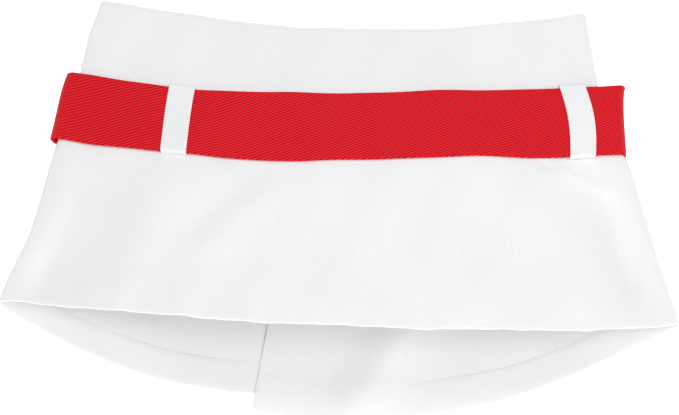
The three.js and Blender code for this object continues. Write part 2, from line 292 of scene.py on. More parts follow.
def laid_askew(share, down):
    """How far the front has slid down the table: the belt lies low on the left, the hem on the right."""
    about_belt = ease(down / SEAM_AT) * ease((HEM_AT - down) / (HEM_AT - BELT_BOTTOM_AT))
    under_belt = ease((down - BELT_TOP_AT) / BELT_DEPTH)
    low_left = BELT_LOW_LEFT * swell(share, -0.5, 0.45)
    high_right = BELT_HIGH_RIGHT * swell(share, 0.45, 0.22)
    fuller = FULLER_MIDDLE * swell(share, -0.15, 0.3) * under_belt
    fuller = fuller + FULLER_RIGHT * ease((share - 0.2) / 0.6) * under_belt
    at_hem = HEM_ASKEW * share * np.maximum(0, 1 - share**12) * on_way_to_hem(down)
    return about_belt * (low_left - high_right + fuller) + at_hem


def side_askew(share, down):
    """How far the left side is pushed out at the yoke and in below it, and the right out at its hem."""
    at_yoke = mix(LEFT_WAIST_OUT, LEFT_YOKE_OUT, ease(down / (0.5 * SEAM_AT)))
    at_yoke = at_yoke * ease((BELT_BOTTOM_AT - down) / BELT_DEPTH)
    on_skirt = LEFT_SKIRT_IN * ease((down - LEFT_IN_FROM) / LEFT_IN_RUN)
    on_skirt = on_skirt * ease((HEM_AT - down) / (0.35 * SKIRT_DEPTH))
    right_hem = RIGHT_HEM_OUT * ease((down - RIGHT_OUT_FROM) / (HEM_AT - RIGHT_OUT_FROM))
    return (on_skirt - at_yoke) * np.clip(-share, 0, 1) ** 3 + right_hem * np.clip(share, 0, 1) ** 3


def long_side(share, down):
    """How much lower the right side's hem lies than the left's."""
    return RIGHT_HEM_LOW * np.clip(share, 0, 1) ** 2 * on_way_to_hem(down)


def hem_pucker(x, down, seed):
    """Small waves that the hem stitches pull into the edge."""
    short, long = PUCKER_PITCHES
    wave = np.sin(x * 2 * math.pi / short + seed) * np.sin(x * 2 * math.pi / long + 2 * seed)
    return PUCKER_HEIGHT * wave * ease((down - HEM_AT + PUCKER_REACH) / PUCKER_REACH)


def front_face(a, down, grow=0):
    """The skirt's front as a surface: across it from -1 to 1, and down it in metres."""
    half, fold, rise, dip = line_at(down, "front")
    half = half + grow
    x, lip = across(a, half)
    share = x / half
    crown = 1 - share**2
    y = WAIST_Y - down - dip * crown - laid_askew(share, down) - long_side(share, down)
    calm = ease((1 - np.abs(share)) / CALM_EDGE)
    uneven = cloth_drift(x, y, 1.0) + hem_pucker(x, down, 0.6)
    for fold_line in FRONT_FOLDS:
        uneven = uneven + soft_fold(x, y, *fold_line)
    for tuck in FRONT_TUCKS:
        uneven = uneven + soft_fold(x, y, *tuck) * ease((down - BELT_BOTTOM_AT) / BELOW_BELT)
    return np.stack([x + side_askew(share, down), y, fold + lip + rise * crown + calm * uneven], axis=-1)


def outward(face, sign, a, down, grow):
    """Which way a face looks, away from the inside of the skirt."""
    wide = face(a + NUDGE, down, grow) - face(a - NUDGE, down, grow)
    long = face(a, down - NUDGE, grow) - face(a, down + NUDGE, grow)
    normal = np.cross(wide, long)
    return sign * normal / np.linalg.norm(normal, axis=-1, keepdims=True)


def off_face(face, sign, a, down, distance, grow=0):
    """Points a given distance outside a face of the skirt."""
    a, down, distance = np.broadcast_arrays(a, down, distance)
    normal = outward(face, sign, a, down, grow)
    return face(a, down, grow) + normal * distance[..., None]


def add_mesh(name, points, faces, uvs, material):
    mesh = bpy.data.meshes.new(name)
    mesh.from_pydata(points.tolist(), [], faces.tolist())
    layer = mesh.uv_layers.new(name="cloth")
    corner = np.zeros(len(mesh.loops), np.int32)
    mesh.loops.foreach_get("vertex_index", corner)
    layer.data.foreach_set("uv", uvs[corner].astype(np.float32).ravel())
    mesh.polygons.foreach_set("use_smooth", np.ones(len(mesh.polygons), bool))
    mesh.materials.append(material)
    mesh.update()
    piece = bpy.data.objects.new(name, mesh)
    scene.collection.objects.link(piece)
    return piece


def grid_faces(rows, columns, first=0):
    corner = first + np.arange(rows * columns).reshape(rows, columns)
    return np.stack(
        [corner[:-1, :-1], corner[1:, :-1], corner[1:, 1:], corner[:-1, 1:]], axis=-1
    ).reshape(-1, 4)


def cloth_piece(name, face, sign, columns, downs, distances, material, thickness=CLOTH, set_in=None):
    """A sheet of cloth of even thickness: rows run down the skirt and may turn back inside it."""
    a = np.array([columns(down) for down in downs])
    down = np.array(downs)[:, None]
    distance = np.array(distances)[:, None] + 0 * a
    if set_in:
        distance = distance + set_in(a)
    points = off_face(face, sign, a, down + 0 * a, distance)
    rows, wide = a.shape
    half = line_at(down, "front")[0]
    travel = np.concatenate([[0], np.cumsum(np.hypot(np.diff(downs), np.diff(distances)))])
    uvs = np.stack([a * half, 0 * a - travel[:, None]], axis=-1).reshape(-1, 2)
    faces = grid_faces(rows, wide)
    if sign < 0:
        faces = faces[:, ::-1]
    piece = add_mesh(name, points.reshape(-1, 3), faces, uvs, material)
    shell = piece.modifiers.new("thickness", "SOLIDIFY")
    shell.thickness = thickness
    shell.offset = 0
    posed = bpy.context.evaluated_depsgraph_get()
    thick = bpy.data.meshes.new_from_object(piece.evaluated_get(posed))
    thick.name = name
    piece.modifiers.clear()
    piece.data = thick
    thick.set_sharp_from_angle(angle=CRISP)
    return piece


TURN_COLUMNS = np.linspace(FLAT_SHARE, 1, TURN_STEPS)


def full_columns(down):
    """Places across the skirt from one side fold to the other, the same in every row."""
    flat = np.linspace(-FLAT_SHARE, FLAT_SHARE, FRONT_COLUMNS)[1:-1]
    return np.concatenate([-TURN_COLUMNS[::-1], flat, TURN_COLUMNS])


def rows_between(start, end, spacing=ROW_SPACING):
    return list(np.linspace(start, end, max(2, int(round(abs(end - start) / spacing)) + 1)))


def turned_edge(downs, distances, edge, layers_apart, back_by):
    """Carries a sheet round an edge and back inside it, as a hem is turned up."""
    radius = layers_apart / 2
    angles = np.linspace(0, math.pi, TURN_STEPS)[1:]
    middle = distances[-1] - radius
    downs = downs + [edge - radius + radius * math.sin(t) for t in angles]
    distances = distances + [middle + radius * math.cos(t) for t in angles]
    back = rows_between(edge - radius, edge - back_by)[1:]
    pressed = [0.85 * layers_apart * float(ease((edge - d) / back_by * 6 - 5)) for d in back]
    return downs + back, distances + [middle - radius + p for p in pressed]


def new_group(name, inputs, outputs):
    """A node group with its sockets, and the nodes that take values in and hand them out."""
    group = bpy.data.node_groups.new(name, "ShaderNodeTree")
    for label, kind, value in inputs:
        socket = group.interface.new_socket(name=label, in_out="INPUT", socket_type=kind)
        if value is not None:
            socket.default_value = value
    for label, kind in outputs:
        group.interface.new_socket(name=label, in_out="OUTPUT", socket_type=kind)
    return group, group.nodes.new("NodeGroupInput"), group.nodes.new("NodeGroupOutput")


def math_node(tree, operation, first, second=None, third=None):
    node = tree.nodes.new("ShaderNodeMath")
    node.operation = operation
    for socket, value in zip(node.inputs, (first, second, third)):
        if value is None:
            continue
        if isinstance(value, (int, float)):
            socket.default_value = value
        else:
            tree.links.new(value, socket)
    return node.outputs[0]


def rounded_top(tree, steps):
    """A round hump over every whole step."""
    return math_node(tree, "SINE", math_node(tree, "MULTIPLY", math_node(tree, "FRACT", steps), math.pi))


def twill_weave_group():
    """Diagonal ribs of short slanting floats, from the cloth's own coordinates in metres."""
    group, given, out = new_group(
        "twill_weave",
        [("Cloth", "NodeSocketVector", None), ("Rib", "NodeSocketFloat", 0.0015),
         ("Slope", "NodeSocketFloat", 0.47), ("Slub", "NodeSocketFloat", 0.35)],
        [("Height", "NodeSocketFloat"), ("Rib Mask", "NodeSocketFloat"), ("Slub Mask", "NodeSocketFloat")],
    )
    split = group.nodes.new("ShaderNodeSeparateXYZ")
    group.links.new(given.outputs["Cloth"], split.inputs[0])
    wander = group.nodes.new("ShaderNodeTexNoise")
    wander.inputs["Scale"].default_value = 90
    wander.inputs["Detail"].default_value = 2
    group.links.new(given.outputs["Cloth"], wander.inputs["Vector"])
    u, v = split.outputs[0], split.outputs[1]
    rib, slope = given.outputs["Rib"], given.outputs["Slope"]
    sine, cosine = math_node(group, "SINE", slope), math_node(group, "COSINE", slope)
    climb = math_node(group, "SUBTRACT", math_node(group, "MULTIPLY", v, cosine),
                      math_node(group, "MULTIPLY", u, sine))
    run = math_node(group, "ADD", math_node(group, "MULTIPLY", u, cosine),
                    math_node(group, "MULTIPLY", v, sine))
    ribs = math_node(group, "ADD", math_node(group, "DIVIDE", climb, rib),
                     math_node(group, "MULTIPLY", wander.outputs["Fac"], 0.5))
    round_rib = rounded_top(group, ribs)
    shift = math_node(group, "MULTIPLY", math_node(group, "FLOOR", ribs), 0.37)
    float_length = math_node(group, "MULTIPLY", rib, 1.15)
    floats = math_node(group, "ADD", math_node(group, "DIVIDE", run, float_length), shift)
    float_top = rounded_top(group, floats)
    fleck = group.nodes.new("ShaderNodeTexNoise")
    fleck.inputs["Scale"].default_value = 1150
    fleck.inputs["Detail"].default_value = 1
    group.links.new(given.outputs["Cloth"], fleck.inputs["Vector"])
    broken = math_node(group, "MULTIPLY_ADD", fleck.outputs["Fac"], 1.0, 0.55)
    weave = math_node(group, "MULTIPLY", math_node(group, "MULTIPLY_ADD", float_top, 0.3, 0.8), broken)
    height = math_node(group, "MULTIPLY", round_rib, weave)
    slub = group.nodes.new("ShaderNodeTexNoise")
    slub.inputs["Scale"].default_value = 1
    slub.inputs["Detail"].default_value = 3
    stretch = group.nodes.new("ShaderNodeCombineXYZ")
    group.links.new(math_node(group, "MULTIPLY", u, 160), stretch.inputs[0])
    group.links.new(math_node(group, "MULTIPLY", v, 900), stretch.inputs[1])
    group.links.new(stretch.outputs[0], slub.inputs["Vector"])
    slub_mask = slub.outputs["Fac"]
    thicker = math_node(group, "SUBTRACT", slub_mask, 0.5)
    uneven = math_node(group, "MULTIPLY_ADD", thicker, given.outputs["Slub"], 1.0)
    group.links.new(math_node(group, "MULTIPLY", height, uneven), out.inputs["Height"])
    group.links.new(height, out.inputs["Rib Mask"])
    group.links.new(slub_mask, out.inputs["Slub Mask"])
    return group


def tone_patch_group():
    """Slow random patches of tone, from 0, the darkest, to 1, the lightest, and a fine fleck for the relief.
    """
    group, given, out = new_group(
        "tone_patches", [("Place", "NodeSocketVector", None), ("Size", "NodeSocketFloat", 14.0)],
        [("Patch", "NodeSocketFloat"), ("Fleck", "NodeSocketFloat")],
    )
    slow = group.nodes.new("ShaderNodeTexNoise")
    slow.inputs["Detail"].default_value = 4
    group.links.new(given.outputs["Place"], slow.inputs["Vector"])
    group.links.new(given.outputs["Size"], slow.inputs["Scale"])
    fine = group.nodes.new("ShaderNodeTexNoise")
    fine.inputs["Scale"].default_value = 420
    fine.inputs["Detail"].default_value = 2
    group.links.new(given.outputs["Place"], fine.inputs["Vector"])
    group.links.new(slow.outputs["Fac"], out.inputs["Patch"])
    group.links.new(fine.outputs["Fac"], out.inputs["Fleck"])
    return group


TWILL = twill_weave_group()
TONE_PATCHES = tone_patch_group()


def woven_material(name, low, high, rib=1.5 * MM, contrast=1.0, roughness=(0.82, 0.95), sheen=0.25,
                   sheen_tint=(1, 1, 1, 1), depth=0.16 * MM, patch_shift=0.03):
    """Twill: low is the colour down between the ribs, darkened there as painted shade, high the colour on top
    of them.
    """
    material = bpy.data.materials.new(name)
    material.use_nodes = True
    tree = material.node_tree
    shader = tree.nodes["Principled BSDF"]
    cloth = tree.nodes.new("ShaderNodeUVMap")
    cloth.uv_map = "cloth"
    weave = tree.nodes.new("ShaderNodeGroup")
    weave.node_tree = TWILL
    weave.inputs["Rib"].default_value = rib
    tree.links.new(cloth.outputs["UV"], weave.inputs["Cloth"])
    tone_patch_node = tree.nodes.new("ShaderNodeGroup")
    tone_patch_node.node_tree = TONE_PATCHES
    tree.links.new(cloth.outputs["UV"], tone_patch_node.inputs["Place"])
    # The rib mask paints the cloth darker down between the ribs: painted shade of the weave's hollows. The
    # slubs add tone that varies at random.
    rib_shade_and_slubs = math_node(tree, "MULTIPLY_ADD", weave.outputs["Rib Mask"], contrast, 0.5 - contrast / 2)
    slubs = math_node(tree, "MULTIPLY_ADD", weave.outputs["Slub Mask"], 0.5, -0.25)
    rib_shade_and_slubs = math_node(tree, "ADD", rib_shade_and_slubs, slubs)
    colours = tree.nodes.new("ShaderNodeMix")
    colours.data_type = "RGBA"
    colours.inputs["A"].default_value = low
    colours.inputs["B"].default_value = high
    tree.links.new(rib_shade_and_slubs, colours.inputs["Factor"])
    shade = tree.nodes.new("ShaderNodeHueSaturation")
    tree.links.new(colours.outputs["Result"], shade.inputs["Color"])
    # Slow random patches of lighter and darker tone.
    patches = math_node(tree, "MULTIPLY_ADD", tone_patch_node.outputs["Patch"], patch_shift * 2, 1 - patch_shift)
    tree.links.new(patches, shade.inputs["Value"])
    tree.links.new(shade.outputs["Color"], shader.inputs["Base Color"])
    rough = tree.nodes.new("ShaderNodeMapRange")
    rough.inputs["To Min"].default_value = roughness[1]
    rough.inputs["To Max"].default_value = roughness[0]
    tree.links.new(weave.outputs["Rib Mask"], rough.inputs["Value"])
    tree.links.new(rough.outputs["Result"], shader.inputs["Roughness"])
    relief = math_node(tree, "MULTIPLY_ADD", tone_patch_node.outputs["Fleck"], 0.35, weave.outputs["Height"])
    bump = tree.nodes.new("ShaderNodeBump")
    bump.inputs["Strength"].default_value = 0.7
    bump.inputs["Distance"].default_value = depth
    tree.links.new(relief, bump.inputs["Height"])
    tree.links.new(bump.outputs["Normal"], shader.inputs["Normal"])
    shader.inputs["Sheen Weight"].default_value = sheen
    shader.inputs["Sheen Roughness"].default_value = 0.45
    shader.inputs["Sheen Tint"].default_value = sheen_tint
    shader.inputs["Specular IOR Level"].default_value = 0.25
    return material


def thread_material(name, colour):
    """Spun thread: a fine twist along each stitch, painted darker down its grooves as shade, slightly shinier
    than the cloth.
    """
    material = bpy.data.materials.new(name)
    material.use_nodes = True
    tree = material.node_tree
    shader = tree.nodes["Principled BSDF"]
    place = tree.nodes.new("ShaderNodeTexCoord")
    twist = tree.nodes.new("ShaderNodeTexWave")
    twist.inputs["Scale"].default_value = 900
    twist.inputs["Distortion"].default_value = 2
    tree.links.new(place.outputs["Object"], twist.inputs["Vector"])
    # The twist's grooves are painted darker: painted shade down the thread's twist.
    tint = tree.nodes.new("ShaderNodeMix")
    tint.data_type = "RGBA"
    tint.inputs["A"].default_value = [c * 0.86 for c in colour[:3]] + [1]
    tint.inputs["B"].default_value = colour
    tree.links.new(twist.outputs["Fac"], tint.inputs["Factor"])
    tree.links.new(tint.outputs["Result"], shader.inputs["Base Color"])
    bump = tree.nodes.new("ShaderNodeBump")
    bump.inputs["Distance"].default_value = 0.05 * MM
    tree.links.new(twist.outputs["Fac"], bump.inputs["Height"])
    tree.links.new(bump.outputs["Normal"], shader.inputs["Normal"])
    shader.inputs["Roughness"].default_value = 0.6
    return material


# The low colour is painted shade down between the ribs, the high one the white cloth on top of them.
WHITE_TWILL = woven_material(
    "white_twill", (0.845, 0.848, 0.856, 1), (0.888, 0.89, 0.898, 1), contrast=0.9, sheen=0.1,
    depth=0.08 * MM, patch_shift=0.02)
# A copy of the white twill a little darker, painted shade for the facings that lie inside the skirt; its low
# colour is painted shade between the ribs.
SHADED_FACING_TWILL = woven_material(
    "facing_twill_shaded", (0.838, 0.842, 0.851, 1), (0.883, 0.886, 0.895, 1), contrast=0.9, sheen=0.1,
    depth=0.08 * MM, patch_shift=0.02)
WHITE_THREAD = thread_material("white_thread", (0.86, 0.86, 0.88, 1))


STITCH_RINGS, STITCH_SIDES = 5, 6
AHEAD = 0.4 * MM  # how far along the path a stitch looks to find its direction
TINY = 1e-12


def unit(vectors):
    return vectors / (np.linalg.norm(vectors, axis=1, keepdims=True) + TINY)


def stitch_row(name, points, normals):
    """One row of thread: a rounded stitch along every step of a path, sunk half into the cloth."""
    steps = np.linalg.norm(np.diff(points, axis=0), axis=1)
    travel = np.concatenate([[0], np.cumsum(steps)])
    count = max(1, int(travel[-1] / (STITCH + STITCH_GAP)))
    middles = (np.arange(count) + 0.5) * travel[-1] / count

    def along_path(values, at):
        return np.stack([np.interp(at, travel, values[:, k]) for k in range(3)], axis=1)

    place = along_path(points, middles)
    up = along_path(normals, middles)
    along = unit(along_path(points, middles + AHEAD) - place)
    side = unit(np.cross(along, up))
    rings, sides = STITCH_RINGS, STITCH_SIDES
    reach = np.linspace(-1, 1, rings)
    fat = np.sqrt(np.clip(1 - reach**4, 0.05, 1))
    turn = np.arange(sides) * 2 * math.pi / sides
    sunk = np.repeat(reach**2, sides) * THREAD
    shape = np.stack([
        np.repeat(reach * STITCH / 2, sides),
        (fat[:, None] * np.cos(turn)[None, :]).ravel() * THREAD,
        (fat[:, None] * np.sin(turn)[None, :]).ravel() * THREAD - sunk,
    ], axis=1)
    corners = (place[:, None, :] + shape[None, :, 0:1] * along[:, None, :]
               + shape[None, :, 1:2] * side[:, None, :] + shape[None, :, 2:3] * up[:, None, :])
    ring = range(sides)
    faces = []
    for k in range(rings - 1):
        low, high = k * sides, (k + 1) * sides
        faces += [[low + i, low + (i + 1) % sides, high + (i + 1) % sides, high + i] for i in ring]
    every = np.arange(count)[:, None, None] * rings * sides + np.array(faces)[None]
    caps = []
    for first in range(0, count * rings * sides, rings * sides):
        caps.append([first + i for i in ring[::-1]])
        caps.append([first + (rings - 1) * sides + i for i in ring])
    mesh = bpy.data.meshes.new(name)
    mesh.from_pydata(corners.reshape(-1, 3).tolist(), [], every.reshape(-1, 4).tolist() + caps)
    mesh.polygons.foreach_set("use_smooth", np.ones(len(mesh.polygons), bool))
    mesh.materials.append(WHITE_THREAD)
    mesh.update()
    row = bpy.data.objects.new(name, mesh)
    scene.collection.objects.link(row)
    return row


def stitches_on(name, face, sign, a, down, distance):
    """A row of stitches along a line on the skirt, given across and down it."""
    a, down = np.broadcast_arrays(np.asarray(a, float), np.asarray(down, float))
    up = outward(face, sign, a, down, 0)
    if np.mean(distance) < 0:
        up = -up
    return stitch_row(name, off_face(face, sign, a, down, distance + 0 * a), up)


TOP_STITCH_DOWN = 3.0 * MM
FACING_SHORT = 5 * MM
LAYER = CLOTH + 0.05 * MM
SEAM_SINK = 0.3 * MM
SUNK_AT_SEAM = [-CLOTH / 2 - share * SEAM_SINK for share in (1, 0.45, 0.1)]
NEAR_SEAM = [0.05 * MM, 0.15 * MM, 0.4 * MM, 0.9 * MM]

# The yoke's cloth turns over the top edge and its facing is one layer further in.
yoke_downs = [SEAM_AT - near for near in NEAR_SEAM] + rows_between(SEAM_AT - 2 * MM, LAYER)
yoke_distances = SUNK_AT_SEAM + [-CLOTH / 2] * (len(yoke_downs) - len(SUNK_AT_SEAM))
for turn in np.linspace(0, math.pi, TURN_STEPS)[1:]:
    yoke_downs.append(LAYER / 2 * (1 - math.sin(turn)))
    yoke_distances.append(-CLOTH / 2 - LAYER / 2 * (1 - math.cos(turn)))
yoke_front = cloth_piece("yoke_front_cloth", front_face, 1, full_columns, yoke_downs, yoke_distances,
                         WHITE_TWILL)
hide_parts("yoke_front")
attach(yoke_front, "front")

facing_downs = rows_between(LAYER, SEAM_AT - FACING_SHORT)
facing_distances = [-CLOTH / 2 - LAYER] * len(facing_downs)
facing_front = cloth_piece("yoke_facing_front_cloth", front_face, 1, full_columns, facing_downs,
                           facing_distances, SHADED_FACING_TWILL)
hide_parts("yoke_facing_front")
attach(facing_front, "front")

waist_stitch = stitches_on("waist_stitches_front", front_face, 1, np.linspace(-0.985, 0.985, 400),
                           TOP_STITCH_DOWN, 0.05 * MM)
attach(waist_stitch, "front")

# ---------------------------------------------------------------------------------------------
# The skirt's front panel: flared twill sewn under the yoke, its hem turned up inside and held
# by small hand stitches that don't show outside.
# ---------------------------------------------------------------------------------------------
HEM_ALLOWANCE = 22 * MM
HEM_LAYER = CLOTH + 0.15 * MM
*near_seam, panel_starts = [SEAM_AT + near for near in NEAR_SEAM]
outside_downs = near_seam + rows_between(panel_starts, HEM_AT - HEM_LAYER / 2)
outside_distances = SUNK_AT_SEAM + [-CLOTH / 2] * (len(outside_downs) - len(SUNK_AT_SEAM))
panel_downs, panel_distances = turned_edge(outside_downs, outside_distances, HEM_AT, HEM_LAYER, HEM_ALLOWANCE)
skirt_front = cloth_piece("skirt_front_cloth", front_face, 1, full_columns, panel_downs, panel_distances,
                          WHITE_TWILL)
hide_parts("skirt_front")
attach(skirt_front, "front")

hem_stitch_at = HEM_AT - HEM_ALLOWANCE + 1.2 * MM
front_hem_stitch = stitches_on("hem_stitches_front", front_face, 1, np.linspace(-0.97, 0.97, 500),
                               hem_stitch_at, -CLOTH - HEM_LAYER)
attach(front_hem_stitch, "front")

# ---------------------------------------------------------------------------------------------
# The two back halves: yoke, facing and flared panel, the right half lapped inside the left.
# They lie flat on the table in the middle and rise to the side folds.
# ---------------------------------------------------------------------------------------------
FLOOR_SHARE = 0.45  # share of the half width that lies flat on the table
FLOOR_CURVE = 1.6  # how late the cloth leaves the table towards its folds
FLOOR_STARTS, FLOOR_RUN = 10 * MM, 60 * MM  # below the belt, where the back comes down to the table
FOLDS_START, FOLDS_RUN = 15 * MM, 30 * MM
LOWEST = -0.2 * MM  # how far the cloth's own unevenness may sink it
RAISED_SLIDE = 0.58  # how far raised cloth slides towards the hem, for each metre it is raised
WRAP_AT_WAIST, WRAP_AT_HEM = 15 * MM, 56 * MM
BELT_THICK = 1.7 * MM
BELT_EASE = 0.4 * MM
BELT_STACK = BELT_EASE + BELT_THICK
TAPE_LIFT = 5.0 * MM
HEM_LIFT = 1.8 * MM
LIFT_CHANGES_AT, LIFT_CHANGES_OVER = 120 * MM, 80 * MM
TAIL_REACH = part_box("belt_back_left")[1].x
SETTLE_FROM, SETTLE_RUN = TAIL_REACH + 3 * MM, 75 * MM
NEAR_FOLD = -0.3  # place across up to which the columns stand close, for the bend
BEND_COLUMNS, BACK_COLUMNS, LAPPED_COLUMNS = 96, 50, 60
EDGE_INSET = 0.4 * MM
EDGE_FACING_THICK = 0.35 * MM
OVER_HEM_RUN = 5 * MM
FLUSH_SHARE = 0.06
EDGE_STITCH_IN = 2.2 * MM

# Folds of the back halves, seen inside below the front hem.
BACK_FOLDS = {
    "left": [
        ((-0.150, -0.085), (-0.090, -0.135), 0.016, 0.0010),
        ((-0.060, -0.060), (-0.050, -0.140), 0.018, 0.0008),
    ],
    "right": [
        ((0.064, -0.050), (0.008, -0.165), 0.018, 0.0078),
        ((-0.050, -0.060), (-0.062, -0.160), 0.016, 0.0006),
        ((0.125, -0.060), (0.100, -0.150), 0.018, 0.0012),
        ((0.170, -0.050), (0.180, -0.110), 0.014, 0.0012),
    ],
}


def wrap_at(down):
    return mix(WRAP_AT_WAIST, WRAP_AT_HEM, down / HEM_AT)


def back_face(side):
    """A back half as a surface, with the same places across and down it as the front."""
    def face(a, down, grow=0):
        half, fold, _, dip = line_at(down, side)
        half = half + grow
        x, lip = across(a, half)
        share = np.abs(x) / half
        climb = np.clip((share - FLOOR_SHARE) / (1 - FLOOR_SHARE), 0, 1) ** FLOOR_CURVE
        floor = BELT_STACK * (1 - ease((down - BELT_BOTTOM_AT - FLOOR_STARTS) / FLOOR_RUN))
        drop = (fold - TURN_RADIUS - floor) * (1 - climb)
        curve = mix(1, HEM_CURVE[side], np.clip((down - SEAM_AT) / SKIRT_DEPTH, 0, 1.1))
        y = WAIST_Y - down - dip * np.maximum(0, 1 - share**2) ** curve
        if side == "right":
            lapped = mix(TAPE_LIFT, HEM_LIFT, ease((down - LIFT_CHANGES_AT) / LIFT_CHANGES_OVER))
            drop = drop - lapped * (1 - ease((x - SETTLE_FROM) / SETTLE_RUN))
        below = ease((down - BELT_BOTTOM_AT - FOLDS_START) / FOLDS_RUN)
        uneven = sum(below * soft_fold(x, y, *fold_line) for fold_line in BACK_FOLDS[side])
        uneven = np.maximum(uneven, LOWEST)
        y = y - long_side(x / half, down) - RAISED_SLIDE * uneven
        return np.stack([x + side_askew(x / half, down), y, fold - lip - drop + uneven], axis=-1)
    return face


BACK = {"left": back_face("left"), "right": back_face("right")}
bend = np.linspace(-FLAT_SHARE, NEAR_FOLD, BEND_COLUMNS)[1:]
FOLD_COLUMNS = np.concatenate([-TURN_COLUMNS[::-1], bend])


def from_fold(side, end, count):
    """Columns from a side fold to a far end, closest together where the cloth bends."""
    if side == "left":
        return np.concatenate([FOLD_COLUMNS, np.linspace(NEAR_FOLD, end, count)[1:]])
    return np.concatenate([np.linspace(end, -NEAR_FOLD, count)[:-1], -FOLD_COLUMNS[::-1]])


def back_columns(side):
    """From the side fold to the free edge."""
    def columns(down):
        edge = across_of(wrap_at(down), line_at(down, side)[0])
        return from_fold(side, edge if side == "left" else -edge, BACK_COLUMNS)
    return columns


def lapped_columns(down):
    """Places across the lap, the width in which both backs lie on each other."""
    edge = across_of(wrap_at(down) - EDGE_INSET, line_at(down, "left")[0])
    return np.linspace(-edge, edge, LAPPED_COLUMNS)


def blend_side(piece, side):
    """The cloth already turns round the side fold in its face; this only bakes the piece's placing into its
    mesh.
    """
    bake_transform(piece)


def back_half(side):
    """One back half: yoke, its facing, panel, the facing of its free edge and their stitches."""
    face = BACK[side]
    columns = back_columns(side)
    body = f"back_{side}"
    yoke = cloth_piece(f"yoke_{body}_cloth", face, -1, columns, yoke_downs, yoke_distances, WHITE_TWILL)
    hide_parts(f"yoke_{body}")
    facing = cloth_piece(f"yoke_facing_{body}_cloth", face, -1, columns, facing_downs, facing_distances,
                         SHADED_FACING_TWILL)
    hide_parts(f"yoke_facing_{body}")
    panel = cloth_piece(f"skirt_{body}_cloth", face, -1, columns, panel_downs, panel_distances, WHITE_TWILL)
    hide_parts(f"skirt_{body}")
    edge_downs = rows_between(SEAM_AT + 0.3 * MM, HEM_AT - 1.5 * MM)
    over_hem = ease((np.array(edge_downs) - HEM_AT + HEM_ALLOWANCE + OVER_HEM_RUN) / OVER_HEM_RUN)
    inset = -CLOTH / 2 - LAYER * 0.8 - HEM_LAYER * over_hem
    out = -1 if side == "left" else 1

    def flush(a):
        """The facing's inner border is pressed flat against the cloth."""
        from_border = 1 - a * out / np.max(a * out, axis=1, keepdims=True)
        return 0.5 * CLOTH * (1 - ease(from_border / FLUSH_SHARE))

    edge = cloth_piece(f"edge_{side}_facing_cloth", face, -1, lapped_columns, edge_downs,
                       inset, SHADED_FACING_TWILL, EDGE_FACING_THICK, flush)
    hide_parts(f"edge_facing_{side}")
    a = np.linspace(0.3, 0.97, 300) * out
    hem = stitches_on(f"hem_stitches_{body}", face, -1, a, hem_stitch_at, -CLOTH - HEM_LAYER)
    edge_down = np.linspace(SEAM_AT + 2 * MM, HEM_AT - 2 * MM, 200)
    edge_a = across_of(wrap_at(edge_down) - EDGE_STITCH_IN, line_at(edge_down, side)[0]) * -out
    edge_stitch = stitches_on(f"edge_stitches_{body}", face, -1, edge_a, edge_down,
                              np.interp(edge_down, edge_downs, inset) - 0.2 * MM)
    for piece in (yoke, facing, panel, hem):
        blend_side(piece, side)
    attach(edge, body)
    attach(edge_stitch, body)


back_half("left")
back_half("right")

# ---------------------------------------------------------------------------------------------
# The belt: red twill folded double into a flat strap with pressed edges. It runs round the
# skirt through the loops and its ends lap at the back, where a hook patch holds them.
# ---------------------------------------------------------------------------------------------
BELT_STANDOFF = {"left": (4.0 * MM, 1.5 * MM), "right": (14.5 * MM, -3 * MM)}  # at its upper and lower edge
BELT_FLARE_CURVE = 0.75
# The low colour is painted shade down between the red ribs, the high one the red on top of them.
RED_TWILL = woven_material(
    "red_twill", (0.28, 0.001, 0.005, 1), (0.85, 0.008, 0.019, 1), rib=2 * MM, contrast=2.2,
    sheen=0.04, sheen_tint=(1.0, 0.3, 0.3, 1), depth=0.2 * MM, patch_shift=0.05)
HAIR = 0.1 * MM
PRESSED = 1.1 * MM  # width over which the strap thins towards its pressed edges
EDGE_STEPS = np.array([0, 0.06, 0.2, 0.45, 0.75, 1])  # rows across that width, as shares of it
TAIL_COLUMNS, HEAD_COLUMNS = 36, 24


def belt_grow(down, a):
    """The belt's ends stand off the side folds, most at its upper edge."""
    from_top = np.clip((down - BELT_TOP_AT) / BELT_DEPTH, 0, 1)
    left = mix(*BELT_STANDOFF["left"], from_top)
    right = mix(*BELT_STANDOFF["right"], from_top**BELT_FLARE_CURVE)
    return mix(left, right, (a + 1) / 2) + BELT_STACK


def rounding(from_edge, width, least=0.02):
    """Share of the full thickness, falling in a round towards a pressed edge."""
    return np.sqrt(np.clip(1 - (1 - np.clip(from_edge / width, 0, 1)) ** 2, least, 1))


def closed_band(name, outer, inner, sign, flat, material):
    """A closed band between an outer and an inner sheet of the same rows and columns."""
    rows, wide = outer.shape[:2]
    points = np.concatenate([outer.reshape(-1, 3), inner.reshape(-1, 3)])
    top = grid_faces(rows, wide)
    bottom = grid_faces(rows, wide, rows * wide)[:, ::-1]
    rim = np.concatenate([
        np.arange(wide), np.arange(1, rows) * wide + wide - 1,
        (rows - 1) * wide + np.arange(wide - 2, -1, -1), np.arange(rows - 2, 0, -1) * wide,
    ])
    after = np.roll(rim, -1)
    walls = np.stack([rim, after, after + rows * wide, rim + rows * wide], axis=-1)
    faces = np.concatenate([top, bottom, walls])
    if sign < 0:
        faces = faces[:, ::-1]
    flat = flat.reshape(-1, 2)
    return add_mesh(name, points, faces, np.concatenate([flat, flat]), material)


